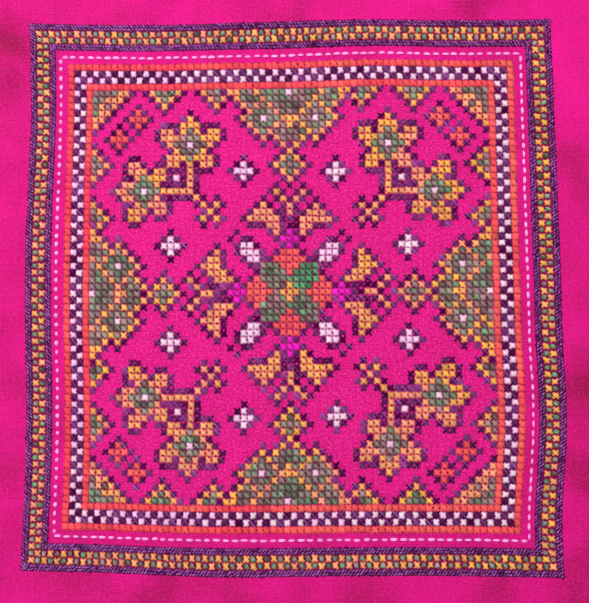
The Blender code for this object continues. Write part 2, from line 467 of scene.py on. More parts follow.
def reckon(operation, *values):
    """A Math node's signal from signals and plain numbers."""
    tree = next(value.socket.id_data for value in values if isinstance(value, Signal))
    return add_node(tree, "ShaderNodeMath", dict(enumerate(values)), operation=operation)


def split(vector):
    """The x, y and z of a vector's signal."""
    node = vector.socket.id_data.nodes.new("ShaderNodeSeparateXYZ")
    feed(node.inputs[0], vector)
    return [Signal(socket) for socket in node.outputs]


def mix_colour(tree, share, first, second, blend="MIX"):
    node = tree.nodes.new("ShaderNodeMix")
    node.data_type = "RGBA"
    node.blend_type = blend
    colours = [socket for socket in node.inputs if socket.type == "RGBA"]
    for socket, value in zip((node.inputs[0], *colours), (share, first, second)):
        feed(socket, value)
    return next(Signal(socket) for socket in node.outputs if socket.type == "RGBA")


def scale_colour(tree, colour, amount):
    return add_node(tree, "ShaderNodeVectorMath", {0: colour, "Scale": amount}, operation="SCALE")


def noise_node(tree, vector, scale, detail=2.0, stretch=None):
    """Noise over a vector, which stretch scales in each direction first."""
    if stretch:
        vector = add_node(tree, "ShaderNodeVectorMath", {0: vector, 1: stretch}, operation="MULTIPLY")
    return add_node(tree, "ShaderNodeTexNoise", {"Vector": vector, "Scale": scale, "Detail": detail}, "Fac")


def attribute_value(tree, name):
    return add_node(tree, "ShaderNodeAttribute", {}, "Fac", attribute_name=name)


def thread_uv(tree):
    return add_node(tree, "ShaderNodeUVMap", {}, uv_map="thread_uv")


def new_tree_group(name, inputs, outputs):
    """A shader node group: its tree, its inputs as signals by name, and the sockets of its outputs by
    name."""
    tree = bpy.data.node_groups.new(name, "ShaderNodeTree")
    for way, sockets in (("INPUT", inputs), ("OUTPUT", outputs)):
        for label, kind in sockets.items():
            tree.interface.new_socket(label, in_out=way, socket_type="NodeSocket" + kind)
    given = tree.nodes.new("NodeGroupInput")
    made = tree.nodes.new("NodeGroupOutput")
    return tree, {socket.name: Signal(socket) for socket in given.outputs}, made.inputs


def plain_weave_group():
    """A plain weave counted in threads of the piece's own UV map. Each thread is a rounded ridge, one less
    three times the square of the distance from its middle, and a sine along it lifts it over one crossing
    thread and lowers it under the next. The higher of warp and weft shows. Threads wander a little off
    their lines. Noise drawn out along them makes them thicker, thinner, lighter and darker, and Fibres
    marks stray pale ones."""
    outputs = dict.fromkeys(("Height", "Tone And Painted Shade", "Fibres"), "Float")
    tree, given, made = new_tree_group("plain weave", {"Thread": "Vector", "Slub": "Float"}, outputs)
    thread = given["Thread"]
    wander = add_node(tree, "ShaderNodeTexNoise", {"Vector": thread, "Scale": 0.16}, "Color")
    wandered = {0: wander, 1: (WANDER, WANDER, 0.0), 2: thread}
    column, row, _ = split(add_node(tree, "ShaderNodeVectorMath", wandered, operation="MULTIPLY_ADD"))

    def ridge(across, along):
        """A ridge with a round section across the thread, and how far it is lifted along it."""
        offset = reckon("FRACT", across) - 0.5
        turn = (reckon("FLOOR", across) + along) * np.pi
        return 1.0 - offset * offset * 3.0, reckon("SINE", turn) * THREAD_RISE

    warp, warp_rise = ridge(column, row)
    weft, weft_rise = ridge(row, column)
    over = reckon("SMOOTH_MAX", warp + warp_rise, weft - weft_rise, 0.15)
    warp_slub = noise_node(tree, thread, scale=0.9, stretch=(1.0, SLUB_STRETCH, 1.0))
    weft_slub = noise_node(tree, thread, scale=0.9, stretch=(SLUB_STRETCH, 1.0, 1.0))
    uneven = (warp_slub + weft_slub - 1.0) * given["Slub"]
    grain = (noise_node(tree, thread, scale=0.55, detail=3.0) - 0.5) * 1.5
    feed(made["Height"], over + uneven * 2.0)
    # Tone paints shade: threads darker where they lie low and lighter on their tops, plus their random slubs
    # and grain
    feed(made["Tone And Painted Shade"], (over - 0.9) * 1.5 + uneven + grain)
    fuzz = noise_node(tree, thread, scale=0.7, detail=3.0, stretch=(1.0, 1.3, 1.0))
    feed(made["Fibres"], reckon("MAXIMUM", fuzz - FIBRE_FROM, 0.0))
    return tree


def stranded_thread_group():
    """Stranded cotton seen close up. The piece's UV map holds the length along a strand in mm and the share of
    a turn round it. A sine of both makes the slanting grooves of the twist, with painted shade in them. Each
    stitch has its own shade and its own place between the thread's two colours. Towards its ends, which sink
    into their holes, its colour is painted into shade by the end tint, and its sides are painted darker where
    strands meet."""
    inputs = dict.fromkeys(("Main Colour", "Second Colour", "End Shade Tint"), "Color")
    inputs |= dict.fromkeys(("Shade Range", "Side Shade"), "Float")
    tree, given, made = new_tree_group("stranded cotton", inputs, {"Colour": "Color", "Height": "Float"})
    along, round_it, _ = split(thread_uv(tree))
    groove = reckon("SINE", (along * TWIST + round_it * 2.0) * (2 * np.pi))
    colour = mix_colour(tree, attribute_value(tree, "blend"), given["Main Colour"], given["Second Colour"])
    amount = attribute_value(tree, "shade") * given["Shade Range"] + groove * GROOVE_SHADE + 1.0
    # Painted shade: the stitch's ends darken towards their holes
    end_shade = reckon("POWER", attribute_value(tree, "out"), SINK_POWER)
    colour = mix_colour(tree, end_shade, colour, mix_colour(tree, 1.0, colour, given["End Shade Tint"], "MULTIPLY"))
    top = reckon("COSINE", round_it * (2 * np.pi))
    amount = amount * (1.0 - (1.0 - top) * given["Side Shade"])
    feed(made["Colour"], scale_colour(tree, colour, amount))
    feed(made["Height"], groove)
    return tree


def group_signals(tree, group_maker, group_name, inputs):
    """The outputs of a node that holds the named group, which is made the first time that it is asked
    for."""
    node = tree.nodes.new("ShaderNodeGroup")
    node.node_tree = bpy.data.node_groups.get(group_name) or group_maker()
    for label, value in inputs.items():
        feed(node.inputs[label], value)
    return map(Signal, node.outputs)


def new_material(name):
    material = bpy.data.materials.new(name)
    material.use_nodes = True
    return material, material.node_tree.nodes["Principled BSDF"]


def dress(shader, colour, height, strength, depth, finish):
    """Feeds a shader its colour and a bump of that strength and depth, and sets its other inputs by
    name."""
    heights = {"Strength": strength, "Distance": depth, "Height": height}
    normal = add_node(shader.id_data, "ShaderNodeBump", heights)
    for name, value in {"Base Color": colour, "Normal": normal, **finish}.items():
        feed(shader.inputs[name], value)


def border_masks(threads):
    """Two masks from the rings of the square: one under the two borders, within half a border of a border's
    middle, and one all over the field inside them."""
    out_x, out_y, _ = (reckon("ABSOLUTE", value) for value in split(threads))
    inside = CROSSES * THREADS_PER_CROSS / 2 - reckon("MAXIMUM", out_x, out_y)
    ring = reckon("DIVIDE", inside, THREADS_PER_CROSS)
    half = BORDER_CROSSES / 2
    outer = reckon("COMPARE", ring, half, half)
    inner = reckon("COMPARE", ring, FIELD_START - half, half)
    field = reckon("GREATER_THAN", ring, FIELD_START)
    return reckon("MAXIMUM", outer, inner), field


def cloth_material(look):
    """Magenta cotton: the weave's relief, thread-by-thread tone with painted shade between threads, a broad
    faded patchiness, and painted shade between stitches and in creases, with painted light on low ridges."""
    material, shader = new_material("magenta_cotton")
    tree = shader.id_data
    threads = thread_uv(tree)
    inputs = {"Thread": threads, "Slub": look.slub}
    height, tone, fibres = group_signals(tree, plain_weave_group, "plain weave", inputs)
    borders, field = border_masks(threads)
    patches = noise_node(tree, threads, scale=0.035, detail=3.0)
    contrast = field * FIELD_CONTRAST + MARGIN_CONTRAST
    # A crease's value paints shade into its trough and light onto a low ridge
    share = tone * contrast - field * FIELD_DEEPER + patches - attribute_value(tree, "crease_painted_shade")
    share = reckon("MINIMUM", reckon("MAXIMUM", share, 0.0), 1.0)
    colour = mix_colour(tree, share, (*look.deep_tone_and_shade_colour, 1.0), (*look.light_colour, 1.0))
    colour = mix_colour(tree, fibres * (contrast + 0.3), colour, (*look.fibre_colour, 1.0))
    # The worked value and the borders' mask paint the stitches' shade onto the cloth under and between them
    painted_cover_shade = reckon("MAXIMUM", attribute_value(tree, "worked"), borders * SHADE_UNDER_BORDERS)
    colour = scale_colour(tree, colour, 1.0 - painted_cover_shade * DEEPEST_SHADE)
    finish = {"Roughness": 0.85, "Specular IOR Level": 0.15}
    finish |= {"Sheen Weight": 0.06, "Sheen Roughness": 0.5, "Sheen Tint": (1.0, 0.35, 0.75, 1.0)}
    dress(shader, colour, height, look.weave_strength, WEAVE_DEPTH, finish)
    return material


def thread_material(name, colours, shades, end_shade_tint, gloss, shine):
    """Stranded cotton in two colours that a stitch can lie between, with the soft shine of its fibres."""
    material, shader = new_material(name)
    colours = zip(("Main Colour", "Second Colour", "End Shade Tint"), (*colours, end_shade_tint))
    inputs = {label: (*value, 1.0) for label, value in colours}
    inputs |= zip(("Shade Range", "Side Shade"), shades)
    colour, height = group_signals(shader.id_data, stranded_thread_group, "stranded cotton", inputs)
    finish = {"Roughness": 0.6, "Specular IOR Level": gloss, "Specular Tint": (*shine, 1.0)}
    finish |= {"Sheen Weight": 0.08, "Sheen Roughness": 0.4, "Sheen Tint": (*shine, 1.0)}
    dress(shader, colour, height, 0.5, GROOVE_DEPTH, finish)
    return material


def thread_of(code):
    """The material of a thread code, made from the panel's colours the first time that it is asked for."""
    look = bpy.context.scene.panel_threads
    first, second, *finish = THREADS[code]
    name = first + "_thread"
    colours = (getattr(look, first), getattr(look, second))
    return bpy.data.materials.get(name) or thread_material(name, colours, *finish)


# Stitch shapes


def strand_profile(t, lift, over):
    """The height of a leg above the cloth at shares t of its length: it dives into a hole at each end, lies
    lift above the cloth between them, and rises by over in its middle, where it crosses the leg below."""
    lying = np.sin(np.pi * np.clip(t, 0, 1)) ** DIVE_POWER
    return -HOLE_DEPTH + (lift + HOLE_DEPTH) * lying + over * bump(t - 0.5, CROSSING_WIDE)


class Leg(NamedTuple):
    """A leg's width, its strands' thickness and number, how high it lies and how much higher in its middle,
    both in shares of that thickness, each strand's width as a share of its room, and the leg's width at its
    ends as a share of its full width."""

    wide: float
    thick: float
    strands: int = 2
    lift: float = 0.55
    over: float = 0.0
    fill: float = 0.98
    ends: float = 0.4


def legs_mesh(starts, ends, leg, seed):
    """Points, quads and UVs for many stitch legs at once, and how far each point is from its leg's middle,
    from 0 to 1 at the ends.

    A leg runs straight from its start to its end on the flat cloth. Its strands lie side by side and close
    up towards the holes. Each is a tube with an oval section: its ring at share t is the strand's middle
    plus half its width times cos a sideways and half its thickness times sin a upwards, for STRAND_SIDES
    angles a. All of it is then laid on the cloth's face. Arrays run over legs, strands, rings and sides."""
    rng = np.random.default_rng(seed)
    count, strands = len(starts), leg.strands
    t = LEG_RINGS[None, None, :, None]
    arch = np.sin(np.pi * t)
    along = ends - starts
    length = np.linalg.norm(along, axis=1)
    side = along[:, ::-1] / length[:, None] * (-1, 1)

    each_leg = (count, 1, 1, 1)
    wide = leg.wide * rng.uniform(*LEG_WIDTHS, each_leg)
    lifted = leg.thick * leg.lift * rng.uniform(*LEG_LIFTS, each_leg)
    sway = rng.normal(0, STRAND_SWAY, each_leg) * arch
    tilt = rng.normal(0, STRAND_TILT, (count, strands, 1, 1)) * arch
    place = ((np.arange(strands) - (strands - 1) / 2) / strands)[None, :, None, None]
    close = leg.ends + (1 - leg.ends) * arch**0.7
    angle = 2 * np.pi * np.arange(STRAND_SIDES) / STRAND_SIDES + np.pi / 2
    sideways = place * wide * close + sway + wide * close / strands * leg.fill / 2 * np.cos(angle)
    upwards = strand_profile(t, lifted, leg.thick * leg.over) + tilt + leg.thick / 2 * np.sin(angle)
    start, run, turned = (rows[:, None, None, None, :] for rows in (starts, along, side))
    flat = start + run * t[..., None] + turned * sideways[..., None]
    points = laid(flat[..., 0], flat[..., 1], upwards).reshape(-1, 3)

    rings, tubes = len(LEG_RINGS), count * strands
    tube = np.arange(tubes)[:, None, None] * rings
    ring = np.arange(rings - 1)[None, :, None]
    here = np.arange(STRAND_SIDES)
    quads, uv = [], []
    for up, on in QUAD_CORNERS:
        quads.append((tube + ring + up) * STRAND_SIDES + (here + on) % STRAND_SIDES)
        far = np.repeat(length / MM, strands)[:, None, None] * LEG_RINGS[ring + up]
        uv.append(np.stack(np.broadcast_arrays(far, (here + on) / STRAND_SIDES), -1))
    out = np.tile(np.repeat(np.abs(2 * LEG_RINGS - 1), STRAND_SIDES), tubes)
    return points, np.stack(quads, -1).reshape(-1, 4), np.stack(uv, -2).reshape(-1, 2), out


class Dye(NamedTuple):
    """How a thread's colour runs over a piece: the mean share of its second colour, how far that drifts from
    patch to patch and differs from strand to strand, how far stitches differ in shade, how much less of the
    second colour the square's right side has than its middle, and how much darker all of them are. Lower legs
    are made darker by it as painted shade, and the bands' upper legs lighter as painted highlight."""

    share: float = 0.3
    drift: float = 0.35
    scatter: float = 0.12
    uneven: float = 0.5
    lean: float = 0.0
    dim: float = 0.0


def strand_values(middles, strands, dye, seed):
    """For each strand, its own shade from about -1 to 1 and its place between the thread's two colours.
    Most of the shade is shared by all strands of a stitch."""
    rng = np.random.default_rng(seed)
    shade = np.repeat(rng.normal(0, dye.uneven, len(middles)), strands)
    shade = (shade + rng.normal(0, STRAND_SHADE, len(shade)) - dye.dim).clip(*SHADE_LIMITS)
    drift = spread_noise(middles[:, 0], middles[:, 1], DYE_PATCH, seed) * dye.drift
    share = dye.share + drift - dye.lean * middles[:, 0] / HALF_WIDE
    blend = np.repeat(share, strands) + rng.normal(0, dye.scatter, len(shade))
    return shade, np.clip(blend, 0, 1)


def corner(column, row):
    """The place on the flat cloth of the hole at that column and row of the chart, from its top left."""
    return np.stack([-HALF_WIDE + column * CROSS_WIDE, HALF_TALL - row * CROSS_TALL], axis=-1)


def legs_piece(name, runs, material):
    """A piece of stitch legs. Each run gives the legs' starts, their ends, their make-up and their dye."""
    seed = LEG_SEED + sum(ord(letter) for letter in name)
    parts, first = [], 0
    for number, (starts, ends, leg, dye) in enumerate(runs):
        points, quads, uv, out = legs_mesh(starts, ends, leg, seed + number)
        values = strand_values((starts + ends) / 2, leg.strands, dye, seed)
        shade, blend = (np.repeat(value, len(LEG_RINGS) * STRAND_SIDES) for value in values)
        parts.append((points, quads + first, uv, shade, blend, out))
        first += len(points)
    points, quads, uv, shade, blend, out = (np.concatenate(group) for group in zip(*parts))
    return mesh_piece(name, points, quads, material, uv, {"shade": shade, "blend": blend, "out": out})


def off_by_hand(places, rng):
    """The places as a hand hits them, each a hair off."""
    return places + rng.normal(0, HAND_ERROR, places.shape)


class Cross(NamedTuple):
    """A cross: its legs' width, their width at the ends as a share of that, how far short of its square's
    corners they stop, as a share of the square, how much shorter yet along the border that the cross stands
    in, how far the upper leg rises in its middle, in strands, and how much of its room each strand
    fills."""

    wide: float
    ends: float = 0.8
    inset: float = 0.03
    gap: float = 0.0
    over: float = 0.6
    fill: float = 0.98


def crosses_piece(name, mask, code, dye, cross):
    """The crosses of one thread where the mask is true: first the legs that slant up to the right, painted
    darker as shade from the others, then, over them, those that slant down to the right."""
    rows, columns = (index.astype(float) for index in np.nonzero(mask))
    rng = np.random.default_rng(len(rows))
    thick = bpy.context.scene.panel_threads.strand_thickness
    middle = (CROSSES - 1) / 2
    level_border = np.abs(rows - middle) > np.abs(columns - middle)
    short_x = cross.inset + cross.gap * level_border
    short_y = cross.inset + cross.gap * ~level_border
    left, right = columns + short_x, columns + 1 - short_x
    top, bottom = rows + short_y, rows + 1 - short_y
    under = Leg(cross.wide, thick, fill=cross.fill, ends=cross.ends)
    runs = []
    for start, end, leg, shade in (
        (corner(left, bottom), corner(right, top), under, dye._replace(dim=UNDER_LEG_PAINTED_SHADE)),
        (corner(left, top), corner(right, bottom), under._replace(lift=OVER_LIFT, over=cross.over), dye),
    ):
        runs.append((off_by_hand(start, rng), off_by_hand(end, rng), leg, shade))
    return legs_piece(name, runs, thread_of(code))


def work_threads(chart, rows):
    """A piece for each row, which gives its name, thread code, dye and cross, wherever the chart has that
    code."""
    for name, code, dye, cross in rows:
        crosses_piece(name, chart == code, code, dye, cross)


# The chart, worked out from its symmetry


def border_chart():
    """Thread codes of the borders' checks and single rows, which follow from how many crosses a place lies
    inside the square's edge. The plaited bands, at 0 and 3, stay bare here."""
    place = np.arange(CROSSES)
    depth = np.minimum(place, CROSSES - 1 - place)
    rings = np.minimum(depth[:, None], depth)
    even = (place[:, None] + place) % 2 == 0
    chart = np.zeros((CROSSES, CROSSES), int)
    inner = BORDER_CROSSES + BARE_STRIP_CROSSES
    for ring, on, off in ((0, YELLOW, GREEN), (inner, NAVY, WHITE)):
        check = (rings == ring + 1) | (rings == ring + 2)
        chart[check] = np.where(even, on, off)[check]
    chart[(rings == inner) | (rings == inner + 3)] = ORANGE
    return chart


class Field:
    """The motifs inside the borders, on a square chart with eight-fold symmetry."""

    def __init__(self):
        self.chart = np.zeros((FIELD_CROSSES, FIELD_CROSSES), int)
        self.row, self.column = np.mgrid[0:FIELD_CROSSES, 0:FIELD_CROSSES]

    def steps_from(self, column, row):
        """How many crosses each place is from that one, counted along rows and columns."""
        return np.abs(self.column - column) + np.abs(self.row - row)

    def at(self, *places):
        """A mask of the listed places, each a column and a row."""
        return np.any([self.steps_from(*place) == 0 for place in places], axis=0)

    def everywhere(self, mask):
        """The mask with its mirror images left to right, top to bottom and about the diagonal."""
        mask = mask | mask[:, ::-1]
        mask = mask | mask[::-1]
        return mask | mask.T

    def work(self, mask, code):
        self.chart[self.everywhere(mask)] = code

    def work_bare(self, mask, code):
        self.chart[self.everywhere(mask) & (self.chart == BARE)] = code

    def outline(self, mask):
        """Navy in every bare place that shares a side with the mask."""
        full = np.pad(self.everywhere(mask), 1)
        self.work_bare(full[:-2, 1:-1] | full[2:, 1:-1] | full[1:-1, :-2] | full[1:-1, 2:], NAVY)

    def diamond(self, column, row, *reaches):
        """Rings of a diamond about a place, navy, yellow and green, each as many steps out as reaches
        says."""
        for reach, code in zip(reaches, (NAVY, YELLOW, GREEN)):
            self.work(self.steps_from(column, row) <= reach, code)

    def spot(self, column, row, reach, code):
        """A small diamond of that reach, with navy one step further round it."""
        steps = self.steps_from(column, row)
        self.work(steps <= reach + 1, NAVY)
        self.work(steps <= reach, code)


def edge_motifs(field):
    """Half and quarter diamonds that stand on the border."""
    middle = FIELD_MIDDLE
    for column in (11, 19):
        field.diamond(column, 0, 3, 2, 1)
    field.diamond(0, 0, 6, 5, 3)
    field.work(field.at((1, 2), (2, 1)), YELLOW)
    field.work(field.at((2, 2)), GREEN)
    field.spot(7, 4, 1, ORANGE)

    steps = field.steps_from(middle, 0)
    field.diamond(middle, 0, 10, 9, 8)
    field.work((steps == 5) | field.at((22, 0), (middle, 4)), YELLOW)
    side = field.steps_from(26, 4)
    field.work((side == 4) & (steps > 9), NAVY)
    field.work(side == 3, YELLOW)
    field.work(side <= 2, GREEN)
    field.work(field.at((middle, 0), (26, 4)), WHITE)
    field.diamond(middle, 11, 3, 2, 1)


def winged_motif(field):
    """A stem with a forked top, a wing on each side and a small bright plus below them."""
    body = field.at((28, 15), (29, 16), (30, 17), (30, 18), (31, 16), (32, 15))
    body |= (field.steps_from(26, 19) <= 2) & (field.row <= 19)
    body |= (field.steps_from(28, 19) <= 2) & (field.row >= 19) & (field.column <= 28)
    field.work(body, YELLOW)
    field.outline(body)
    plus = field.steps_from(FIELD_MIDDLE, 22)
    field.work_bare(plus <= 2, NAVY)
    field.work(plus <= 1, PINK)


def medallion(field):
    """The centre: four petals between four squares, with a small plus in the middle."""
    across = np.abs(field.column - FIELD_MIDDLE)
    up = FIELD_MIDDLE - field.row
    square = (across <= 4) & (np.abs(up) <= 4)
    petal = np.zeros(field.chart.shape, bool)
    for row_up, half in ((6, 1), (5, 2), (4, 1), (3, 0)):
        petal |= (up == row_up) & (across <= half)
    field.work(square, GREEN)
    field.work(petal, ORANGE)
    field.work(across + np.abs(up) <= 1, YELLOW)
    field.outline(square | petal)


def flowers(field):
    """A pair of flowers on one bent stem, in each corner."""
    column, row = 15, 8
    petals = [(0, -4), (0, -3)]
    half = [(1, -3), (1, -2), (4, -2), (3, -2), (4, -1), (3, -1), (2, -1)]
    half += [(3, 0), (2, 1), (1, 2), (2, 2), (3, 2), (2, 3), (3, 3)]
    petals += [(side * out, down) for side in (-1, 1) for out, down in half]
    petal = field.at(*((column + out, row + down) for out, down in petals))
    stem = field.at(*((column, down) for down in range(row + 3, row + 8)))
    heart = field.steps_from(column, row)
    field.work(petal | stem, YELLOW)
    field.work(heart <= 2, GREEN)
    field.work(heart == 0, WHITE)
    field.outline(petal | stem | (heart <= 2))
    ring = (np.abs(field.column - 13) <= 1) & (np.abs(field.row - 13) <= 1)
    field.work_bare(ring, NAVY)
    field.work(field.at((13, 13)), WHITE)


def small_motifs(field):
    """A knot of five by the stem, small stars, and leaves round the medallion."""
    knot = field.at((16, 16), (17, 17), (18, 18), (19, 17), (19, 19))
    field.work(knot, YELLOW)
    field.outline(knot)
    field.spot(23, 12, 1, WHITE)
    across, down = field.column - 24, field.row - 24
    leaf = (np.abs(across) <= 1) & (np.abs(down) <= 1) & (np.abs(across - down) <= 1)
    field.work(leaf, WHITE)
    field.outline(leaf)
    field.work_bare(field.at((22, 21)), NAVY)


def full_field():
    """The field's codes on the whole square's chart. One of the medallion's squares is of a fresher
    green."""
    field = Field()
    for motif in (edge_motifs, winged_motif, medallion, flowers, small_motifs):
        motif(field)
    right, up = field.column - FIELD_MIDDLE, FIELD_MIDDLE - field.row
    fresh = (right > 0) & (right <= 4) & (up > 0) & (up <= 4)
    field.chart[fresh & (field.chart == GREEN)] = LEAF_GREEN
    return np.pad(field.chart, FIELD_START)


# Pieces


def cloth_lines(half):
    """The cloth's lines along one axis: close together where the hem folds and steps, evenly spaced
    elsewhere."""
    edge = half + MARGIN
    hem_in = edge - HEM_WIDE
    fold = edge - np.array(FOLD_LINES) * MM
    hem = np.linspace(edge - HEM_LINES_FROM, hem_in + HEM_STEP + STEP_GAP, 4)
    step = [hem_in + HEM_STEP, hem_in + HEM_STEP / 2, hem_in]
    inner = hem_in - STEP_GAP
    body = np.linspace(-inner, inner, int(round(2 * inner / CLOTH_LINE_PITCH)) + 1)
    side = np.concatenate([fold, hem, step])
    return np.sort(np.concatenate([-side, body, side]))


def painted_shade_under_stitches(x, y):
    """How deep the stitches' painted shade is on the cloth between the field's crosses, by their thread."""
    painted_cover_shade = np.pad(np.array(SHADE_UNDER)[full_field()], 1)
    column = np.clip(np.floor((x + HALF_WIDE) / CROSS_WIDE).astype(int) + 1, 0, CROSSES + 1)
    row = np.clip(np.floor((HALF_TALL - y) / CROSS_TALL).astype(int) + 1, 0, CROSSES + 1)
    return painted_cover_shade[row, column]


def cloth_piece():
    """The cotton sheet: its face is the laid() surface over a grid of lines, its thickness is given
    downwards, and its UV map counts threads of the weave."""
    x, y = np.meshgrid(cloth_lines(HALF_WIDE), cloth_lines(HALF_TALL))
    index = np.arange(x.size).reshape(x.shape)
    quads = np.stack([index[:-1, :-1], index[:-1, 1:], index[1:, 1:], index[1:, :-1]], -1).reshape(-1, 4)
    threads = np.stack([x.ravel() / CROSS_WIDE, y.ravel() / CROSS_TALL], -1) * THREADS_PER_CROSS
    # The first value paints the stitches' shade on the cloth, the second paints shade in creases and light on
    # low ridges
    values = {"worked": painted_shade_under_stitches(x, y), "crease_painted_shade": crease_depth(x, y) / MM * CREASE_SHADE}
    material = cloth_material(bpy.context.scene.panel_cloth)
    points = laid(x, y).reshape(-1, 3)
    piece = mesh_piece("cloth_sheet", points, quads, material, threads[quads.ravel()], values)
    group = piece.vertex_groups.new(name="thickness")
    share = np.round(np.clip(layer_thickness(x, y).ravel() / HEM_THICK, 0, 1), 3)
    for level in np.unique(share):
        group.add(np.nonzero(share == level)[0].tolist(), float(level), "REPLACE")
    solid = piece.modifiers.new("thickness", "SOLIDIFY")
    solid.thickness = HEM_THICK
    solid.offset = -1.0
    solid.vertex_group = group.name
    solid.thickness_vertex_group = 0.0
    return piece


def band_runs(ring):
    """The legs of a plaited band round the square on one ring of the chart. At each cross a wide dark leg
    slants back. Over it lie two staggered rows of short lighter ones that slant forward, two in a row to
    each cross. Legs at the bottom and right slant the other way."""
    look = bpy.context.scene.panel_threads
    rng = np.random.default_rng(ring)
    first, last = float(ring), float(CROSSES - ring)
    along = np.arange(first, last)
    rows = [[], [], [], []]

    def lay(kind, begin, near, stop, far):
        """Legs of one kind on a level side and on an upright one, from near to far across the band."""
        near, far = np.full_like(begin, near), np.full_like(stop, far)
        rows[kind] += [corner(begin, near), corner(near, begin)]
        rows[kind + 1] += [corner(stop, far), corner(far, stop)]

    for outside, inside in ((first, first + 1), (last, last - 1)):
        turn = inside - outside
        halfway = outside + turn / 2
        lay(0, along + 1, outside + BACK_SHORT * turn, along, inside - BACK_SHORT * turn)
        outer = (outside + OVER_SHORT * turn, halfway, 0.0)
        inner = (halfway, inside - OVER_SHORT * turn, 0.25)
        for near, far, stagger in (outer, inner):
            place = np.arange(first + stagger, last - 0.4, 0.5)
            lay(2, place, near, place + 0.5, far)
    ends = [off_by_hand(np.concatenate(row), rng) for row in rows]
    back = Leg(look.band_width * BACK_WIDTH, look.strand_thickness, lift=0.4, ends=0.8)
    over = Leg(look.band_width, look.strand_thickness, strands=1, lift=0.7, over=0.3, ends=0.7)
    # The upper legs are nearly all violet and lighter than the rest: painted highlights on the plait
    dyes = Dye(0.03, 0.1, 0.1, 0.4, 0.05), Dye(0.95, 0.15, 0.3, 0.75, 0.1, -0.5)
    return [(ends[0], ends[1], back, dyes[0]), (ends[2], ends[3], over, dyes[1])]


def running_runs():
    """The dashes of the running stitch along the middle of the bare strip: even steps with uneven lengths.
    Each side was worked at its own tension, so its dashes take their own share of a step, and are fuller or
    finer."""
    look = bpy.context.scene.panel_threads
    rng = np.random.default_rng(LEG_SEED + 200)
    inset = BORDER_CROSSES + BARE_STRIP_CROSSES * RUNNING_ACROSS
    wide, tall = HALF_WIDE - inset * CROSS_WIDE, HALF_TALL - (inset + RUNNING_LOWER) * CROSS_TALL
    corners = np.array([(-wide, tall), (wide, tall), (wide, -tall), (-wide, -tall), (-wide, tall)])
    runs = []
    for begin, end, (share, wider) in zip(corners, corners[1:], DASHES):
        length = np.linalg.norm(end - begin)
        unit = (end - begin) / length
        count = int(length / look.running_step)
        place = (np.arange(count) + 0.5) * length / count
        dash = look.running_step * (share + rng.uniform(-DASH_UNEVEN, DASH_UNEVEN, count))
        place = place + rng.normal(0, DASH_ALONG, count)
        off = rng.normal(0, DASH_OFF, (2, count))
        across = np.array([-unit[1], unit[0]])
        starts = begin + np.outer(place - dash / 2, unit) + np.outer(off[0], across)
        ends = begin + np.outer(place + dash / 2, unit) + np.outer(off[1], across)
        leg = Leg(look.running_width * wider, look.strand_thickness, lift=0.6, fill=1.1)
        runs.append((starts, ends, leg, Dye(0.2, 0.4, uneven=0.3)))
    return runs


def hem_runs():
    """Small slip stitches that hold the hem, square to its inner edge and evenly stepped along it."""
    look = bpy.context.scene.panel_threads
    rng = np.random.default_rng(LEG_SEED + 300)
    wide = HALF_WIDE + MARGIN - HEM_STITCH_FROM_EDGE
    tall = HALF_TALL + MARGIN - HEM_STITCH_FROM_EDGE
    starts, ends = [], []
    for level, reach, other in ((True, wide, tall), (False, tall, wide)):
        count = int(2 * reach / look.hem_step)
        place = np.linspace(-reach, reach, count) + rng.normal(0, SLIP_ERROR, count)
        for side in (-1, 1):
            for row, along, at in ((starts, place, other), (ends, place + SLIP_SLANT, other - SLIP_LONG)):
                pair = [along, np.full(count, side * at)]
                row.append(np.stack(pair if level else pair[::-1], -1))
    slip = Leg(SLIP_WIDE, look.strand_thickness * SLIP_THICK, strands=1)
    return [(np.concatenate(starts), np.concatenate(ends), slip, Dye(0.5, 0.2))]


# Settings, operators and panel


def colour_setting(name, description, default):
    return FloatVectorProperty(
        name=name, description=description, subtype="COLOR", size=3, min=0, max=1, default=default
    )


def length_setting(name, description, default):
    return FloatProperty(
        name=name, description=description, subtype="DISTANCE", unit="LENGTH", precision=5, default=default
    )


def share_setting(name, description, default):
    return FloatProperty(name=name, description=description, subtype="FACTOR", min=0, max=1, default=default)


class PanelClothSettings(bpy.types.PropertyGroup):
    # The cotton runs from the light colour, on the threads' tops and low ridges, to the deep colour, its
    # deeper tone and the painted shade between threads and in creases
    light_colour: colour_setting("Light colour", "The cotton where threads lie high", (0.745, 0.0022, 0.238))
    deep_tone_and_shade_colour: colour_setting("Deep colour", "The cotton between threads", (0.28, 0.001, 0.052))
    fibre_colour: colour_setting("Fibre colour", "Stray pale fibres on the cotton's face", (1.0, 0.08, 0.42))
    slub: share_setting("Slub", "How uneven the yarns are", 0.65)
    weave_strength: share_setting("Weave relief", "How deep the weave looks", 0.6)


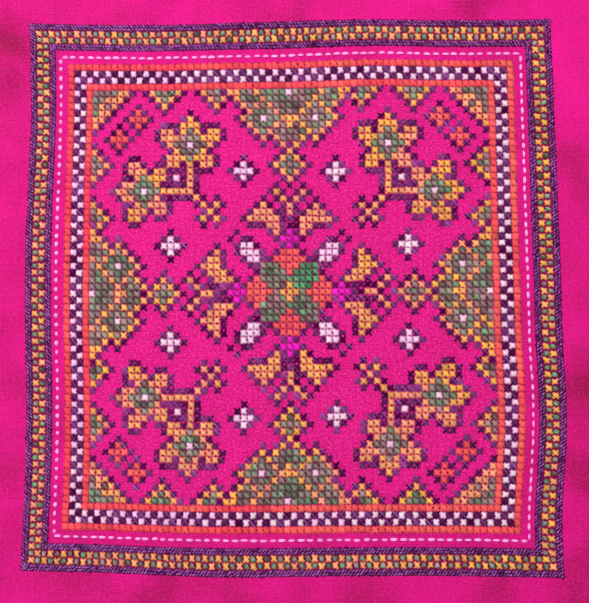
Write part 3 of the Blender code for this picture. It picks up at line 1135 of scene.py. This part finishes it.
class PanelThreadSettings(bpy.types.PropertyGroup):
    navy: colour_setting("Navy", "Thread of the outlines and bands", (0.075, 0.003, 0.066))
    # The violet paints the navy thread's highlights into its colour
    violet: colour_setting("Violet", "The navy thread's faded shade", (0.28, 0.082, 0.31))
    yellow: colour_setting("Yellow", "Thread of the petals", (1.0, 0.57, 0.10))
    peach: colour_setting("Peach", "The yellow thread's warmer shade", (1.0, 0.42, 0.25))
    grey_green: colour_setting("Grey green", "Thread of the diamonds", (0.44, 0.25, 0.27))
    mint: colour_setting("Mint", "The green thread's lighter shade", (0.18, 0.41, 0.22))
    leaf_green: colour_setting("Leaf green", "Thread of one square", (0.115, 0.42, 0.21))
    orange_red: colour_setting("Orange red", "Thread of the single rows", (0.98, 0.065, 0.105))
    coral: colour_setting("Coral", "The orange thread's lighter shade", (1.0, 0.18, 0.12))
    white: colour_setting("White", "Thread of the checks and stars", (0.97, 0.76, 0.85))
    pale_pink: colour_setting("Pale pink", "Thread of the running stitch", (1.0, 0.46, 0.88))
    rose: colour_setting("Rose", "The pale pink thread's deeper shade", (0.98, 0.20, 0.66))
    pink: colour_setting("Bright pink", "Thread of the small pluses", (0.95, 0.015, 0.62))
    hem: colour_setting("Hem", "Sewing thread dyed to match the cotton", (0.80, 0.01, 0.25))
    deep_hem: colour_setting("Deep hem", "The hem thread's deeper shade", (0.62, 0.006, 0.18))
    full_width: length_setting("Border leg width", "Width of a leg of the outer yellow crosses", 0.89 * MM)
    field_width: length_setting("Field leg width", "Width of a leg of the field's crosses", 0.90 * MM)
    row_width: length_setting("Row leg width", "Width of a leg of the single orange rows", 1.12 * MM)
    white_width: length_setting("White leg width", "Width of a leg of the white crosses", 0.98 * MM)
    green_width: length_setting("Green leg width", "Width of a leg of the green crosses", 1.00 * MM)
    fine_width: length_setting("Fine leg width", "Width of a leg of the outlines", 0.81 * MM)
    band_width: length_setting("Band leg width", "Width of a light leg of the plaited bands", 0.47 * MM)
    running_width: length_setting("Dash width", "Width of a dash of the running stitch", 0.80 * MM)
    strand_thickness: length_setting("Strand thickness", "Height of one strand", 0.31 * MM)
    running_step: length_setting("Running step", "From one dash to the next", 2.70 * MM)
    hem_step: length_setting("Hem step", "From one slip stitch to the next", 4.0 * MM)


class PanelStageSettings(bpy.types.PropertyGroup):
    camera_place: FloatVectorProperty(
        name="Camera place",
        description="Where the camera stands over the cloth",
        subtype="TRANSLATION",
        unit="LENGTH",
        default=(0.01555, -0.02741, 0.2982),
    )
    camera_turn: FloatVectorProperty(
        name="Camera turn",
        description="How the camera is turned",
        subtype="EULER",
        unit="ROTATION",
        default=tuple(np.radians((4.754, 2.535, 0.462))),
    )
    key_power: FloatProperty(
        name="Key power", description="Power of the main light", unit="POWER", min=0, default=6.0
    )
    fill_strength: FloatProperty(
        name="Fill strength", description="Strength of the even light all round", min=0, default=0.52
    )


class EMBROIDERY_OT_lay_cloth(bpy.types.Operator):
    """Lay the magenta cotton sheet with its ripples and turned hem"""

    bl_idname = "embroidery.lay_cloth"
    bl_label = "Lay cloth"

    def execute(self, context):
        piece = cloth_piece()
        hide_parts(SHEET_NODE)
        return {"FINISHED"}


class EMBROIDERY_OT_sew_hem(bpy.types.Operator):
    """Sew the hem down with small slip stitches"""

    bl_idname = "embroidery.sew_hem"
    bl_label = "Sew hem"

    def execute(self, context):
        legs_piece("hem_stitches", hem_runs(), thread_of(HEM_THREAD))
        return {"FINISHED"}


class EMBROIDERY_OT_work_outer_border(bpy.types.Operator):
    """Work the outer border: two navy plaited bands with yellow and green checks between them"""

    bl_idname = "embroidery.work_outer_border"
    bl_label = "Work outer border"

    def execute(self, context):
        look = context.scene.panel_threads
        for name, ring in (("outer_band_navy", 0), ("second_band_navy", BORDER_CROSSES - 1)):
            legs_piece(name, band_runs(ring), thread_of(NAVY))
        full = Cross(look.full_width, gap=0.09)
        green = Cross(look.green_width, inset=0.10, gap=0.17)
        rows = (
            ("outer_checks_yellow", YELLOW, Dye(0.5, 0.5, 0.3, lean=0.35), full),
            ("outer_checks_green", GREEN, Dye(0.6, 0.35, 0.35, dim=0.2), green),
        )
        work_threads(border_chart(), rows)
        return {"FINISHED"}


class EMBROIDERY_OT_work_running_stitch(bpy.types.Operator):
    """Work the pale running stitch along the bare strip"""

    bl_idname = "embroidery.work_running_stitch"
    bl_label = "Work running stitch"

    def execute(self, context):
        legs_piece("running_stitch", running_runs(), thread_of(PALE_PINK))
        return {"FINISHED"}


class EMBROIDERY_OT_work_inner_border(bpy.types.Operator):
    """Work the inner border: orange-red rows with white and navy checks between them"""

    bl_idname = "embroidery.work_inner_border"
    bl_label = "Work inner border"

    def execute(self, context):
        look = context.scene.panel_threads
        row = Cross(look.row_width, ends=1.0, inset=0.04, over=0.15)
        fine = Cross(look.fine_width, inset=-0.03)
        white = Cross(look.white_width, inset=0.06, gap=0.06)
        rows = (
            ("inner_rows_orange", ORANGE, Dye(0.35, 0.4, lean=-0.25), row),
            ("inner_checks_navy", NAVY, Dye(0.42, 0.2, 0.4, 0.3), fine),
            ("inner_checks_white", WHITE, Dye(0.15, 0.35, lean=0.15), white),
        )
        work_threads(border_chart(), rows)
        return {"FINISHED"}


class EMBROIDERY_OT_work_field(bpy.types.Operator):
    """Work the field's motifs, one piece for each thread"""

    bl_idname = "embroidery.work_field"
    bl_label = "Work field"

    def execute(self, context):
        look = context.scene.panel_threads
        full = Cross(look.field_width, ends=0.75, inset=0.05)
        fine = Cross(look.fine_width, ends=0.85, inset=0.03)
        green = Cross(look.green_width, inset=0.02, fill=0.8)
        white = Cross(look.white_width, inset=0.06)
        rows = (
            ("field_navy", NAVY, Dye(0.35, 0.2, 0.4, 0.4), fine),
            ("field_yellow", YELLOW, Dye(0.45, 0.9, 0.25, 0.4, 0.2), full),
            ("field_green", GREEN, Dye(0.4, 0.4, 0.45), green),
            ("field_leaf_green", LEAF_GREEN, Dye(0.1, 0.1), full),
            ("field_orange", ORANGE, Dye(0.8, 0.3), full),
            ("field_white", WHITE, Dye(0.15, 0.3), white),
            ("field_pink", PINK, Dye(0.5, 0.2), full),
        )
        work_threads(full_field(), rows)
        return {"FINISHED"}


class EMBROIDERY_OT_set_stage(bpy.types.Operator):
    """Set the floor, the soft light and the camera"""

    bl_idname = "embroidery.set_stage"
    bl_label = "Set stage"

    def execute(self, context):
        set_floor()
        set_light(context.scene.panel_stage)
        set_camera(context.scene.panel_stage)
        return {"FINISHED"}


def set_floor():
    """A plain pale floor that the cloth lies on."""
    mesh = bpy.data.meshes.new("floor")
    corners = np.array(((-1, -1, 0), (1, -1, 0), (1, 1, 0), (-1, 1, 0))) * FLOOR_REACH
    mesh.from_pydata(corners.tolist(), [], [(0, 1, 2, 3)])
    floor = bpy.data.objects.new("floor", mesh)
    material, shader = new_material("pale_floor")
    shader.inputs["Base Color"].default_value = (0.80, 0.79, 0.77, 1.0)
    shader.inputs["Roughness"].default_value = 0.9
    mesh.materials.append(material)
    bpy.context.scene.collection.objects.link(floor)


def set_light(stage):
    """One large soft light from the upper left and an even fill."""
    scene = bpy.context.scene
    world = bpy.data.worlds.new("even_fill")
    world.use_nodes = True
    background = world.node_tree.nodes["Background"]
    background.inputs["Color"].default_value = (1.0, 0.98, 0.97, 1.0)
    background.inputs["Strength"].default_value = stage.fill_strength
    scene.world = world
    key = bpy.data.lights.new("key", "AREA")
    key.shape = "RECTANGLE"
    key.size, key.size_y = KEY_SIDES
    key.energy = stage.key_power
    holder = bpy.data.objects.new("key", key)
    holder.location = KEY_PLACE
    holder.rotation_euler = (-holder.location).to_track_quat("-Z", "Y").to_euler()
    scene.collection.objects.link(holder)
    scene.view_settings.view_transform = "Standard"


def set_camera(stage):
    """A camera nearly overhead, with the field of view of the picture's crop."""
    camera = bpy.data.cameras.new("camera")
    camera.sensor_width = SENSOR_WIDE
    camera.lens = FOCAL_PIXELS / PICTURE_TALL * SENSOR_WIDE
    camera.clip_start = 0.01
    holder = bpy.data.objects.new("camera", camera)
    holder.location = stage.camera_place
    holder.rotation_euler = Euler(stage.camera_turn, "XYZ")
    bpy.context.scene.collection.objects.link(holder)
    bpy.context.scene.camera = holder


class EMBROIDERY_PT_panel(bpy.types.Panel):
    """Lists the steps that build the embroidered cloth"""

    bl_idname = "EMBROIDERY_PT_panel"
    bl_label = "Cross-stitch panel"
    bl_space_type = "VIEW_3D"
    bl_region_type = "UI"
    bl_category = "Embroidery"

    def draw(self, context):
        for step in STEPS:
            self.layout.operator(step.bl_idname)
        for group, kind in SETTINGS.items():
            box = self.layout.box()
            for name in kind.__annotations__:
                box.prop(getattr(context.scene, group), name)


STEPS = (
    EMBROIDERY_OT_lay_cloth,
    EMBROIDERY_OT_sew_hem,
    EMBROIDERY_OT_work_outer_border,
    EMBROIDERY_OT_work_running_stitch,
    EMBROIDERY_OT_work_inner_border,
    EMBROIDERY_OT_work_field,
    EMBROIDERY_OT_set_stage,
)
SETTINGS = {
    "panel_cloth": PanelClothSettings,
    "panel_threads": PanelThreadSettings,
    "panel_stage": PanelStageSettings,
}
CLASSES = (*SETTINGS.values(), *STEPS, EMBROIDERY_PT_panel)


def register():
    for item in CLASSES:
        bpy.utils.register_class(item)
    for name, kind in SETTINGS.items():
        setattr(bpy.types.Scene, name, PointerProperty(type=kind))


def unregister():
    for name in SETTINGS:
        delattr(bpy.types.Scene, name)
    for item in reversed(CLASSES):
        bpy.utils.unregister_class(item)


def main():
    register()
    bpy.ops.embroidery.lay_cloth()
    bpy.ops.embroidery.sew_hem()
    bpy.ops.embroidery.work_outer_border()
    bpy.ops.embroidery.work_running_stitch()
    bpy.ops.embroidery.work_inner_border()
    bpy.ops.embroidery.work_field()
    bpy.ops.embroidery.set_stage()


if __name__ == "__main__":
    main()
